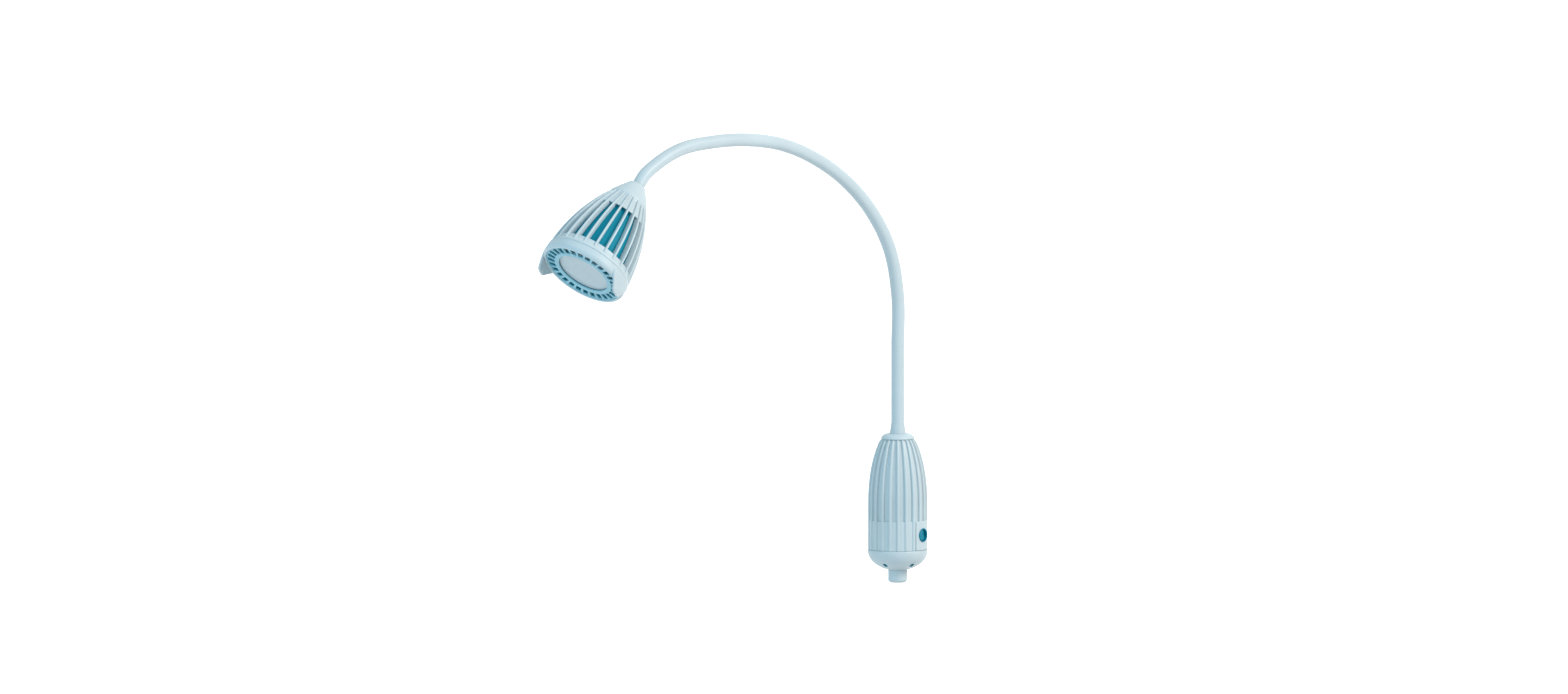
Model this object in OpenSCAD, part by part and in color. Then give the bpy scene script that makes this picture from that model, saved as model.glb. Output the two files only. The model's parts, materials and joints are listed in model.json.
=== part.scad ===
// Gooseneck examination lamp: a ribbed base housing on a spigot, a flexible neck and a
// ribbed bell head with a vented front. Millimetres, +Z up, the origin at the lower end
// of the spigot on its axis. The neck leans over towards -Y in the plane x = 0.

/* [Spigot] */
// Diameter of the mounting spigot
spigot_d = 25; // [20:1:28]
// Diameter of the cable passage through the spigot
spigot_bore_d = 16; // [10:1:18]
// Length of spigot that shows below the base cap
spigot_len = 16; // [12:1:18]

/* [Base housing] */
// Diameter over the crests of the ribs
housing_d = 78; // [74:1:84]
// Height of the seam between the cap and the housing
seam_z = 43; // [42:1:46]
// Height of the step where the grooves get deeper
step_z = 81.5; // [78:0.5:90]
// Height where the ribs end under the collar ring
housing_top_z = 187; // [184:1:189]
// Number of ribs round the housing
housing_ribs = 22; // [18:1:26]
// Width of one housing rib
housing_rib_w = 4.4; // [3:0.2:6]
// Depth of the grooves above the step
groove_deep = 3; // [2:0.25:3.5]
// Depth of the grooves below the step
groove_shallow = 1.4; // [0.8:0.2:2]

/* [Switch] */
// Direction of the switch round the housing, from +X towards +Y
switch_az = 13; // [0:1:40]
// Height of the centre of the switch
switch_z = 63; // [61:0.5:64]
// Outer diameter of the round switch
switch_d = 18; // [16:0.5:19]
// Tilt of the rocker to each side of its middle
rocker_tilt = 7; // [4:1:8]

/* [Neck] */
// Outer diameter of the flexible neck
neck_d = 17; // [16:0.5:18]
// Diameter of the passage for the lead through the neck
neck_bore_d = 6.4; // [5:0.2:7]
// Height of the lowest bending point
first_pivot_z = 244; // [235:1:260]
// Distance from one bending point to the next
link_len = 63.4; // [60:0.2:66]
// Diameter of the lead inside the neck
lead_d = 4; // [3:0.5:4.5]

/* [Head] */
// Lean of the head's axis from straight up
head_lean = 137.5; // [130:0.5:145]
// Length of the head from its collar to its rim
head_len = 147; // [140:1:150]
// Diameter of the shade at the rim
head_d = 117; // [114:1:122]
// Radius of the arc that shapes the bell
bell_arc_r = 254; // [240:2:280]
// Number of cooling ribs round the shade
shade_ribs = 24; // [20:2:28]
// Thickness of one cooling rib
shade_rib_w = 3.2; // [2:0.2:4]
// Depth of the cooling ribs, from the crest inwards
shade_rib_depth = 8; // [6:0.5:9]
// Distance from the collar to the upper end of the open slots
slot_from = 52; // [46:1:58]
// Distance from the collar to the lower end of the open slots
slot_to = 117; // [110:1:122]

/* [Front] */
// Number of air slots round the front glass
vent_slots = 28; // [20:2:32]
// Diameter of the glass that shows
glass_d = 71; // [60:1:72]
// How far the two lugs reach past the rim
lug_reach = 14; // [12:1:20]
// Width of a lug where it leaves the rim
lug_root_w = 52; // [44:1:56]
// Width of a lug at its tip
lug_tip_w = 29; // [24:1:32]

/* [Hidden] */

$fn = 64;

pale = [0.80, 0.87, 0.90];
pale_neck = [0.78, 0.84, 0.87];
teal_dark = [0.0, 0.47, 0.58];
teal_mid = [0.43, 0.70, 0.78];
steel = [0.72, 0.74, 0.76];
brass = [0.80, 0.66, 0.36];
copper = [0.72, 0.42, 0.24];
ceramic = [0.93, 0.92, 0.88];
frosted = [0.72, 0.80, 0.84, 0.6];

eps = 0.01;
gap = 0.3;
fit_gap = 0.05;

// Spigot: a free cylinder below the cap, a narrower neck through it and a flange inside.
spigot_neck_r = spigot_d / 2 - 0.3;
spigot_bore_len = 20;
spigot_cone_z = 18.2;
spigot_cone_top = 22.5;
spigot_flange_r = 20;
spigot_top = 25.5;
grommet_r = 5.5;

// Base housing outline: straight wall, then a quarter ellipse up to the collar ring.
housing_r = housing_d / 2;
crown_z = 105;
crown_h = 100;
housing_wall = 3.2;
cap_centre_z = 41;
cap_depth = 26;
cap_wall = 3;
cap_lip_h = 6;
cap_lip_wall = 2.8;
chassis_z = cap_centre_z + cap_lip_h;
chassis_t = 3;

function crown_r(z) = z <= crown_z ? housing_r
    : housing_r * sqrt(1 - pow((z - crown_z) / crown_h, 2));
function housing_inner_r(z) = crown_r(z) - groove_deep - housing_wall;
function groove_r(z) = crown_r(z) - (z < step_z ? groove_shallow : groove_deep);
crown_steps = [for (i = [0:8]) crown_z + (housing_top_z - crown_z) * sin(i * 90 / 8)];

// Cap screws stand upright on one circle.
cap_screw_n = 5;
cap_screw_ring = 29;
cap_screw_az = -78.5;
cap_screw_head_d = 5.4;
cap_screw_d = 3;
cap_screw_seat_z = 31;

// Switch: distances along its own axis, outwards from the axis of the housing.
rocker_r = 6.8;
rocker_pivot_r = 33.5;
rocker_pin_r = 1;
barrel_bore_r = 7.6;
barrel_from = 28;
barrel_to = 35;
switch_block_from = 14;
switch_block_w = 15;
switch_tab_len = 9;

// Transformer between its lead and the chassis web: the core, its windows and the winding.
core_from = [-22, -13, 86];
core_size = [44, 22, 46];
core_window = [9, 24, 28];
coil_from = [-14.3, -17, 95.2];
coil_size = [28.6, 28.2, 27.6];
block_from = [-22, -20, chassis_z + chassis_t];
block_size = [26, 12, 13];

// Route of the lead from the terminal block up to the neck, chosen by hand.
base_lead_route = [
    [-9, -7.9, 54], [-9, -6.4, 54], [-12, -4, 56], [-19, -2, 60], [-25, -2, 67],
    [-27, -3, 76], [-27, -3, 90], [-27, -3, 104], [-27, -3, 118], [-27, -3, 129],
    [-24, -3, 138], [-17, -2, 145], [-9, -1, 151], [-3, 0, 157], [0, 0, 163],
    [0, 0, 169], [0, 0, 186], [0, 0, 200], [0, 0, 214], [0, 0, 228], [0, 0, 240]
];

// Neck: a chain of links. Each link has a cup at its lower end and a ball at its upper
// end, and the ball's centre is the bending point. The lean of each link from straight
// up sets the curve in which the lamp is stored.
neck_r = neck_d / 2;
neck_bore_r = neck_bore_d / 2;
link_lean = [0, 0, 13, 33, 48, 60, 70, 81, 89, 98, 110];
ball_r = 7;
cup_r = ball_r + gap;
throat_r = 5.2;
throat_h = 7.6;
tip_len = 26;
lead_start = 9;
lead_stop = 2;
neck_foot_z = 168;
neck_nut_z = 170;
neck_nut_h = 8;

function lean_vector(a) = [0, -sin(a), cos(a)];
function pivot(i) = i == 0 ? [0, 0, first_pivot_z]
    : pivot(i - 1) + link_len * lean_vector(link_lean[i - 1]);

// Head: its own axis runs from the collar (0) to the rim (head_len).
head_r = head_d / 2;
collar_point = pivot(11) + tip_len * lean_vector(head_lean);
function bell_r(s) = head_r - bell_arc_r + sqrt(pow(bell_arc_r, 2) - pow(head_len - s, 2));
bell_steps = 7;
shade_end = 133.5;
shade_wall = 2.5;
shade_groove = 3;
skirt_wall = 3.2;
rib_from = 28;
cavity_from = 12;
bezel_from = shade_end + gap;
bezel_collar_from = 125;
bezel_collar_r = bell_r(bezel_collar_from) - skirt_wall - 0.4;
bezel_lip_r = head_r - 5;
vent_z = 143.5;
vent_t = 2;
vent_outer_r = bezel_lip_r + 1.5;
slot_mid_r = 46.5;
slot_reach = 10;
slot_w = 7.2;
glass_r = glass_d / 2;
glass_t = 3;
gasket_t = 0.8;
lug_az = [-17, 163];
lug_round_r = 12;
lug_t = 3;
liner_gap = 1.5;
liner_t = 1.2;
liner_from = 38;
liner_to = 122;
socket_z = 44;
reflector_from = 62;
reflector_to = 126;

// ---- helpers ----

module ring(outer_r, inner_r, h) {
    difference() {
        cylinder(r = outer_r, h = h);
        translate([0, 0, -eps]) cylinder(r = inner_r, h = h + 2 * eps);
    }
}

// Sweeps a round tube along a list of points.
module swept_tube(points, r, sides = 8) {
    last = len(points) - 1;
    function heading(i) = let (a = points[max(i - 1, 0)], b = points[min(i + 1, last)])
        (b - a) / norm(b - a);
    function side_of(t) = let (s = cross(t, abs(t[2]) > 0.9 ? [1, 0, 0] : [0, 0, 1]))
        s / norm(s);
    rings = [for (i = [0:last]) let (t = heading(i), u = cross(t, [0, 1, 0]),
        a = norm(u) > 0.05 ? u / norm(u) : side_of(t), b = cross(t, a))
        for (k = [0:sides - 1]) points[i] + r * (cos(k * 360 / sides) * a
            + sin(k * 360 / sides) * b)];
    walls = [for (i = [0:last - 1], k = [0:sides - 1])
        let (n = (k + 1) % sides, p = i * sides)
        [p + k, p + n, p + sides + n, p + sides + k]];
    polyhedron(points = rings, faces = concat([[for (k = [sides - 1:-1:0]) k]], walls,
        [[for (k = [0:sides - 1]) last * sides + k]]));
}

module switch_frame() {
    rotate([0, 0, switch_az]) translate([0, 0, switch_z]) rotate([0, 90, 0]) children();
}

module link_frame(i) {
    translate(pivot(i - 1)) rotate([link_lean[i - 1], 0, 0]) children();
}

module head_frame() {
    translate(collar_point) rotate([head_lean, 0, 0]) children();
}

module cap_screw_places() {
    for (i = [0:cap_screw_n - 1])
        rotate([0, 0, cap_screw_az + i * 360 / cap_screw_n])
            translate([cap_screw_ring, 0, 0]) children();
}

// ---- base ----

module spigot() {
    color(pale) difference() {
        rotate_extrude() polygon([
            [0, 0], [spigot_d / 2 - 2.5, 0], [spigot_d / 2 - 0.8, 0.9], [spigot_d / 2, 3],
            [spigot_d / 2, spigot_len], [spigot_neck_r, spigot_len],
            [spigot_neck_r, spigot_cone_z], [spigot_flange_r, spigot_cone_top],
            [spigot_flange_r, spigot_top], [0, spigot_top]
        ]);
        translate([0, 0, -eps]) cylinder(d = spigot_bore_d, h = spigot_bore_len + eps);
        cylinder(r = grommet_r, h = spigot_top + 1);
    }
}

module inlet_grommet() {
    bore_r = 3.6;
    color("dimgray") union() {
        translate([0, 0, spigot_top]) ring(grommet_r + 3, bore_r, 2.5);
        translate([0, 0, spigot_bore_len]) ring(grommet_r - fit_gap, bore_r,
            spigot_top - spigot_bore_len);
    }
}

// Points of a bowl's wall, from radius low_r up to the height of its centre.
function bowl_z(r, depth, at_r) = cap_centre_z - depth * sqrt(1 - pow(at_r / r, 2));
function bowl_points(r, depth, low_r) = let (low = asin(low_r / r))
    [for (i = [0:10]) let (a = low + (90 - low) * i / 10)
        [r * sin(a), cap_centre_z - depth * cos(a)]];

module bottom_cap() {
    inner_r = housing_r - cap_wall;
    inner_depth = cap_depth - cap_wall;
    lip_r = housing_inner_r(seam_z) - 0.2;
    seat_r = spigot_flange_r + 0.05;
    hole_r = spigot_neck_r + 0.05;
    color(pale) difference() {
        union() {
            rotate_extrude() polygon(concat(
                bowl_points(housing_r, cap_depth, hole_r),
                [[housing_r, seam_z], [lip_r, seam_z], [lip_r, chassis_z],
                    [lip_r - cap_lip_wall, chassis_z], [lip_r - cap_lip_wall, 38.5],
                    [inner_r - 1.5, 36]],
                [for (r = [34, 32, 29, 26, 23]) [r, bowl_z(inner_r, inner_depth, r)]],
                [[seat_r, bowl_z(inner_r, inner_depth, seat_r)], [seat_r, spigot_cone_top],
                    [hole_r, spigot_cone_z]]));
            intersection() {
                rotate_extrude() polygon(concat(
                    bowl_points(housing_r - 0.7, cap_depth - 0.7, 15),
                    [[housing_r - 0.7, seam_z - 1], [15, seam_z - 1]]));
                cap_screw_places() translate([0, 0, 20]) cylinder(r = 4.6, h = seam_z - 22);
            }
        }
        cap_screw_places() {
            translate([0, 0, 15]) cylinder(d = cap_screw_head_d + 0.3, h = cap_screw_seat_z - 15);
            translate([0, 0, 15]) cylinder(d = cap_screw_d + 0.4, h = 40);
        }
    }
}

module cap_screws() {
    head_h = 2.4;
    color("darkslategray") cap_screw_places() difference() {
        union() {
            translate([0, 0, cap_screw_seat_z - head_h])
                cylinder(d = cap_screw_head_d, h = head_h);
            translate([0, 0, cap_screw_seat_z - eps])
                cylinder(d = cap_screw_d, h = chassis_z + chassis_t - cap_screw_seat_z);
        }
        translate([0, 0, cap_screw_seat_z - head_h - eps]) cylinder(d = 2.9, h = 1.5, $fn = 6);
    }
}

module housing_band(outer_offset) {
    levels = concat([seam_z, step_z - eps, step_z + eps], crown_steps);
    inner = [for (i = [len(crown_steps) - 1:-1:0])
        [housing_inner_r(crown_steps[i]), crown_steps[i]]];
    rotate_extrude() polygon(concat([[housing_inner_r(seam_z), seam_z]],
        [for (z = levels) [outer_offset ? crown_r(z) : groove_r(z), z]], inner));
}

module housing() {
    pitch = 360 / housing_ribs;
    pad_half = 20;
    pad_reach = housing_r * 1.5;
    color(pale) difference() {
        union() {
            housing_band(false);
            intersection() {
                housing_band(true);
                union() {
                    for (i = [0:housing_ribs - 1])
                        rotate([0, 0, switch_az + (i + 0.5) * pitch])
                            translate([15, -housing_rib_w / 2, seam_z])
                                cube([housing_r, housing_rib_w, 160]);
                    rotate([0, 0, switch_az]) translate([0, 0, seam_z])
                        linear_extrude(step_z - seam_z) polygon([[20, 0],
                            pad_reach * [cos(pad_half), -sin(pad_half)],
                            pad_reach * [cos(pad_half), sin(pad_half)]]);
                }
            }
        }
        switch_frame() translate([0, 0, 20]) cylinder(d = switch_d + 0.3, h = 30);
    }
}

module collar_ring() {
    color(pale) rotate_extrude() polygon([
        [10.6, 178.2], [15.9, 178.2], [15.9, 187.2], [22.3, 187.2], [21.8, 188.6],
        [20.4, 190.4], [18.6, 192], [16.8, 193.2], [14.6, 193.8], [10.6, 193.8]
    ]);
}

module neck_boot() {
    inner_r = neck_r + fit_gap;
    color(pale_neck) rotate_extrude() polygon([
        [inner_r, 186], [10.5, 186], [10.5, 194.2], [10.1, 197], [9.5, 200.5], [9.1, 204],
        [8.9, 206.5], [inner_r, 207]
    ]);
}

module neck_nut() {
    color(brass) difference() {
        translate([0, 0, neck_nut_z]) cylinder(r = 14.5, h = neck_nut_h, $fn = 6);
        translate([0, 0, neck_nut_z - 1]) cylinder(r = neck_r + fit_gap, h = neck_nut_h + 2);
    }
}

module chassis() {
    disc_r = housing_inner_r(seam_z) - 0.2;
    web_x = 24;
    web_top = 142;
    notch_z = 78;
    color(steel) difference() {
        union() {
            translate([0, 0, chassis_z]) cylinder(r = disc_r, h = chassis_t);
            translate([-web_x, 11.4, chassis_z + chassis_t - eps])
                cube([2 * web_x, 2.4, web_top - chassis_z - chassis_t]);
        }
        translate([0, 0, chassis_z - 1]) cylinder(r = 7, h = chassis_t + 2);
        translate([6, 10, chassis_z + chassis_t]) cube([40, 6, notch_z - chassis_z - chassis_t]);
        cap_screw_places() translate([0, 0, chassis_z - 1])
            cylinder(d = cap_screw_d, h = chassis_t + 2);
    }
}

module transformer_core() {
    color("slategray") difference() {
        translate(core_from) cube(core_size);
        for (x = [-14.5, 5.5]) translate([x, core_from[1] - 1, 95]) cube(core_window);
    }
}

module transformer_coil() {
    color(copper) difference() {
        translate(coil_from) cube(coil_size);
        translate([-5.6, -13.1, 94]) cube([11.2, 22.2, 30]);
    }
}

module terminal_block() {
    color(ceramic) translate(block_from) difference() {
        cube(block_size);
        for (x = [5, 13, 21]) {
            translate([x, 6, 7]) cylinder(d = 4, h = 7);
            translate([x, -1, 4]) rotate([-90, 0, 0]) cylinder(d = 3, h = 14);
        }
    }
}

module base_lead() {
    color("gainsboro") swept_tube(base_lead_route, lead_d / 2);
}

// ---- switch: local z points out of the housing, local y is the rocker's pivot ----

module switch_bezel() {
    color(teal_dark) switch_frame() translate([0, 0, barrel_to])
        rotate_extrude() polygon([
            [barrel_bore_r, 0], [switch_d / 2, 0], [switch_d / 2, 4.4],
            [switch_d / 2 - 0.5, 5], [barrel_bore_r, 4.6]
        ]);
}

module switch_rocker() {
    color(teal_dark) switch_frame() translate([0, 0, rocker_pivot_r])
        rotate([0, -rocker_tilt, 0]) union() {
            intersection() {
                translate([0, 0, -3]) cylinder(r = rocker_r, h = 9);
                translate([0, 10, 0]) rotate([90, 0, 0]) linear_extrude(20) polygon([
                    [-8, -1.2], [-3, -3], [3, -3], [8, -1.2], [8, 4.6], [0, 3.2], [-8, 4.6]
                ]);
            }
            translate([0, switch_d / 2 - 0.6, 0]) rotate([90, 0, 0])
                cylinder(r = rocker_pin_r, h = switch_d - 1.2);
        }
}

module switch_body() {
    color("dimgray") switch_frame() difference() {
        union() {
            translate([0, 0, barrel_from]) cylinder(d = switch_d, h = barrel_to - barrel_from);
            translate([-switch_block_w / 2, -switch_block_w / 2, switch_block_from])
                cube([switch_block_w, switch_block_w, barrel_from - switch_block_from + eps]);
        }
        translate([0, 0, barrel_from + 1.5]) cylinder(r = barrel_bore_r, h = 10);
        translate([0, switch_d / 2 + 1, rocker_pivot_r]) rotate([90, 0, 0])
            cylinder(r = rocker_pin_r + 0.05, h = switch_d + 2);
    }
}

module switch_tabs() {
    color(brass) switch_frame() for (y = [-4, 4])
        translate([-0.4, y - 2.4, switch_block_from - switch_tab_len])
            cube([0.8, 4.8, switch_tab_len]);
}

// ---- neck ----

module ball_end(h) {
    translate([0, 0, h - throat_h]) cylinder(r = throat_r, h = throat_h);
    translate([0, 0, h]) sphere(r = ball_r);
}

module neck_root() {
    color(pale_neck) difference() {
        union() {
            translate([0, 0, neck_foot_z])
                cylinder(r = neck_r, h = first_pivot_z - throat_h - neck_foot_z);
            ball_end(first_pivot_z);
        }
        translate([0, 0, neck_foot_z - 1]) cylinder(r = neck_bore_r, h = first_pivot_z);
    }
}

module neck_link(i) {
    color(pale_neck) link_frame(i) difference() {
        union() {
            cylinder(r = neck_r, h = link_len - throat_h);
            ball_end(link_len);
        }
        sphere(r = cup_r);
        translate([0, 0, -1]) cylinder(r = neck_bore_r, h = link_len + ball_r + 2);
    }
}

module lead_piece(i) {
    color("gainsboro") link_frame(i) translate([0, 0, lead_start])
        cylinder(d = lead_d, h = link_len - lead_start - lead_stop);
}

module neck_tip() {
    inside = 18;
    color(pale_neck) head_frame() translate([0, 0, -tip_len]) difference() {
        cylinder(r = neck_r, h = tip_len + inside);
        sphere(r = cup_r);
        translate([0, 0, -1]) cylinder(r = neck_bore_r, h = tip_len + inside + 2);
    }
}

// ---- head: local z runs from the collar to the rim ----

function bell_points(from, to, inset) = [for (i = [0:bell_steps])
    let (s = from + (to - from) * i / bell_steps) [bell_r(s) - inset, s]];
function reversed(list) = [for (i = [len(list) - 1:-1:0]) list[i]];

module bell_band(from, to, outer_inset, inner_inset) {
    rotate_extrude() polygon(concat(bell_points(from, to, outer_inset),
        reversed(bell_points(from, to, inner_inset))));
}

module shade_crown() {
    rotate_extrude() polygon(concat(
        [[neck_r + 0.1, 0], [11.6, 0], [13.3, 1.4]],
        [for (s = [4, 10, 16, 22, rib_from]) [bell_r(s), s]],
        [for (s = [rib_from + 3, 38, 45, slot_from]) [bell_r(s) - shade_groove, s]],
        [for (s = [slot_from, 40, 28, 18]) [bell_r(s) - shade_groove - shade_wall, s]],
        [[16, cavity_from], [neck_r + 0.1, cavity_from]]));
}

module shade_skirt() {
    rotate_extrude() polygon(concat(
        [for (s = [slot_to, 122, 127]) [bell_r(s) - 2.4 + (s - slot_to) * 0.1, s]],
        [[bell_r(130) - 0.5, 130], [bell_r(shade_end), 131.5], [bell_r(shade_end), shade_end]],
        [for (s = [shade_end, bezel_collar_from]) [bezel_collar_r + 0.4, s]],
        [[bell_r(slot_to) - 5, slot_to]]));
}

module shade() {
    color(pale) head_frame() union() {
        shade_crown();
        shade_skirt();
        intersection() {
            union() {
                bell_band(rib_from - 4, slot_from + 1, 0, shade_groove + 1);
                bell_band(slot_from - 3, slot_to + 2, 0, shade_rib_depth);
                bell_band(slot_to, 131.5, 0, 3);
            }
            for (i = [0:shade_ribs - 1]) rotate([0, 0, i * 360 / shade_ribs])
                translate([15, -shade_rib_w / 2, 0]) cube([head_r, shade_rib_w, head_len]);
        }
    }
}

module end_nut() {
    color(brass) head_frame() difference() {
        translate([0, 0, cavity_from]) cylinder(r = 13.5, h = 5.5, $fn = 6);
        translate([0, 0, cavity_from - 1]) cylinder(r = neck_r + fit_gap, h = 8);
    }
}

module heat_liner() {
    inset = shade_rib_depth + liner_gap;
    color(teal_dark) head_frame() difference() {
        rotate_extrude() polygon(concat([[7, liner_from]],
            bell_points(liner_from, liner_to, inset),
            reversed(bell_points(liner_from + liner_t, liner_to, inset + liner_t)),
            [[7, liner_from + liner_t]]));
        bracket_screw_places() cylinder(d = 2.5, h = 60);
    }
}

module bracket_screw_places() {
    for (i = [0:2]) rotate([0, 0, 60 + i * 120]) translate([14.5, 0, 0]) children();
}

module socket_bracket() {
    color(steel) head_frame() difference() {
        union() {
            translate([0, 0, liner_from + liner_t]) cylinder(r = 19, h = 1.6);
            translate([0, 0, liner_from + liner_t]) cylinder(r = 11.5, h = socket_z + 6 - liner_from);
        }
        translate([0, 0, socket_z]) cylinder(r = 9.5, h = 20);
        translate([0, 0, liner_from]) cylinder(r = 6, h = 20);
        bracket_screw_places() cylinder(d = 2.5, h = 60);
    }
}

module bracket_screws() {
    head_z = liner_from + liner_t + 1.6;
    color(steel) head_frame() bracket_screw_places() union() {
        translate([0, 0, head_z]) cylinder(d = 4.8, h = 1.8);
        translate([0, 0, liner_from - 2.5]) cylinder(d = 2.5, h = head_z - liner_from + 2.6);
    }
}

module lamp_socket() {
    color(ceramic) head_frame() difference() {
        translate([0, 0, socket_z]) cylinder(r = 9.4, h = 16);
        for (x = [-3, 3]) translate([x, 0, socket_z + 6]) cylinder(d = 1.6, h = 12);
    }
}

module lamp_bulb() {
    glass_from = socket_z + 17;
    color(frosted) head_frame() {
        translate([0, 0, glass_from]) cylinder(r = 5.5, h = 26);
        translate([0, 0, glass_from + 26]) sphere(r = 5.5);
        for (x = [-3, 3]) translate([x, 0, socket_z + 7]) cylinder(d = 1.4, h = 12);
    }
}

function dish_r(s) = 13 + 22 * sqrt((s - reflector_from) / (reflector_to - reflector_from));

module reflector() {
    steps = [0, 0.03, 0.1, 0.2, 0.35, 0.5, 0.75, 1];
    levels = [for (t = steps) reflector_from + t * (reflector_to - reflector_from)];
    color("silver") head_frame() rotate_extrude() polygon(concat(
        [for (s = levels) [dish_r(s), s]],
        [[44, reflector_to], [44, reflector_to - 1.2]],
        [for (s = reversed(levels)) [dish_r(s) + 1.1, s - 1.2]]));
}

module head_lead() {
    color("gainsboro") head_frame() translate([0, 0, lead_start - tip_len])
        cylinder(d = lead_d, h = socket_z + tip_len - lead_start);
}

// ---- front: the bezel turns on the shade by its two lugs ----

module lug(a) {
    root_half = lug_root_w / 2;
    tip_half = lug_tip_w / 2;
    tip = head_len + lug_reach;
    shoulder = tip - lug_round_r;
    rotate([0, 0, a]) intersection() {
        translate([0, 0, bezel_from]) ring(head_r + 1.2, head_r + 1.2 - lug_t, 60);
        rotate([90, 0, 90]) linear_extrude(head_r * 1.5) union() {
            polygon([[-root_half, bezel_from], [root_half, bezel_from],
                [root_half, head_len - 6], [tip_half, shoulder],
                [tip_half - lug_round_r, tip], [-tip_half + lug_round_r, tip],
                [-tip_half, shoulder], [-root_half, head_len - 6]]);
            for (side = [-1, 1]) translate([side * (tip_half - lug_round_r), shoulder])
                circle(r = lug_round_r);
        }
    }
}

module bezel() {
    color(pale) head_frame() union() {
        rotate_extrude() polygon([
            [bezel_collar_r - 2.4, bezel_collar_from], [bezel_collar_r, bezel_collar_from],
            [bezel_collar_r, bezel_from], [head_r - 0.3, bezel_from],
            [head_r, bezel_from + 1], [head_r, 143.5], [head_r - 0.8, 145.6],
            [head_r - 2.4, head_len], [bezel_lip_r + 0.6, head_len],
            [bezel_lip_r, head_len - 1], [bezel_lip_r, vent_z + vent_t],
            [vent_outer_r, vent_z + vent_t], [vent_outer_r, 137], [bezel_collar_r - 2.4, 135]
        ]);
        for (a = lug_az) lug(a);
    }
}

module vent_ring() {
    color(teal_mid) head_frame() difference() {
        translate([0, 0, vent_z]) ring(vent_outer_r - 0.1, glass_r, vent_t);
        for (i = [0:vent_slots - 1]) rotate([0, 0, (i + 0.5) * 360 / vent_slots])
            translate([slot_mid_r - slot_reach / 2, -slot_w / 2, vent_z - 1])
                cube([slot_reach, slot_w, vent_t + 2]);
    }
}

module glass_gasket() {
    color(teal_dark) head_frame() translate([0, 0, vent_z - gasket_t])
        ring(glass_r + 3, glass_r - 0.6, gasket_t);
}

module front_glass() {
    color(frosted) head_frame() translate([0, 0, vent_z - gasket_t - glass_t])
        cylinder(r = glass_r + 3, h = glass_t);
}

module glass_clips() {
    back = vent_z - gasket_t - glass_t;
    color(steel) head_frame() for (i = [0:2]) rotate([0, 0, i * 120]) {
        translate([glass_r, -4, back - 1]) cube([4.4, 8, 1]);
        translate([glass_r + 3.4, -4, back - eps]) cube([1, 8, vent_z - back + eps]);
    }
}

spigot();
inlet_grommet();
bottom_cap();
cap_screws();
housing();
collar_ring();
neck_boot();
neck_nut();
chassis();
transformer_core();
transformer_coil();
terminal_block();
base_lead();
switch_bezel();
switch_rocker();
switch_body();
switch_tabs();
neck_root();
neck_link(1);  // neck_link_01
neck_link(2);  // neck_link_02
neck_link(3);  // neck_link_03
neck_link(4);  // neck_link_04
neck_link(5);  // neck_link_05
neck_link(6);  // neck_link_06
neck_link(7);  // neck_link_07
neck_link(8);  // neck_link_08
neck_link(9);  // neck_link_09
neck_link(10);  // neck_link_10
neck_link(11);  // neck_link_11
neck_tip();
lead_piece(1);  // lead_01
lead_piece(2);  // lead_02
lead_piece(3);  // lead_03
lead_piece(4);  // lead_04
lead_piece(5);  // lead_05
lead_piece(6);  // lead_06
lead_piece(7);  // lead_07
lead_piece(8);  // lead_08
lead_piece(9);  // lead_09
lead_piece(10);  // lead_10
lead_piece(11);  // lead_11
shade();
end_nut();
heat_liner();
socket_bracket();
bracket_screws();
lamp_socket();
lamp_bulb();
reflector();
head_lead();
bezel();
vent_ring();
glass_gasket();
front_glass();
glass_clips();
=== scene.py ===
# %% [markdown]
# # A gooseneck examination lamp
# The lamp has a ribbed base on a spigot, a bendable neck, and a ribbed bell head with a ring of
# air slots round a frosted glass. The frame from the design step already holds every part at its
# true size, with its joints. This lesson gives each part the shape and the finish that the eye
# expects, and leaves the sizes and places alone.
#
# The first cell loads that frame.

# %% Load the frame
import json
import math

import bmesh
import bpy
from mathutils import Matrix, Vector


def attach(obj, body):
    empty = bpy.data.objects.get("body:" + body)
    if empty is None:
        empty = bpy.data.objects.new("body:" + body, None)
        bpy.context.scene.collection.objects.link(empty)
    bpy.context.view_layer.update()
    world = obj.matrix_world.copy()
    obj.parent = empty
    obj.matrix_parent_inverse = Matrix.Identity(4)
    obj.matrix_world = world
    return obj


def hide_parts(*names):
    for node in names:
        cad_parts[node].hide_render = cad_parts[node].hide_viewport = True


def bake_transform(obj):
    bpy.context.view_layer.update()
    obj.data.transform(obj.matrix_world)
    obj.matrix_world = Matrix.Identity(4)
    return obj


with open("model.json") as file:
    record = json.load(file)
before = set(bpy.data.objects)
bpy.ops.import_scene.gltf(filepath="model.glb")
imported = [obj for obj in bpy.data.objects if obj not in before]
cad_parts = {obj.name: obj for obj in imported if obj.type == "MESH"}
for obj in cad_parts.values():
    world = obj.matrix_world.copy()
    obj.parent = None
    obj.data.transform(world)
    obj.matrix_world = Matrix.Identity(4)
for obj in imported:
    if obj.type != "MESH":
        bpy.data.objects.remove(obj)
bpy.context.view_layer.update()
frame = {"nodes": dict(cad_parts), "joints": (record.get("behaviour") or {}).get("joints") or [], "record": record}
joints = {joint["name"]: joint for joint in frame["joints"]}

# %% [markdown]
# ## Where things are
# A turned part needs a centre line. The base stands on the vertical axis. The head has an axis of
# its own, which the front ring's hinge gives us, and the switch looks out of the housing along the
# line from the axis to the rocker's pin. Each of these becomes a matrix, so that the part can be
# drawn in millimetres as if it stood upright on the bench. Typing world coordinates for a leaning
# bell would also work, but nobody could read them.

# %% Set up the three places to work in
MM = 0.001
HEAD_LEN = 147


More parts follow.
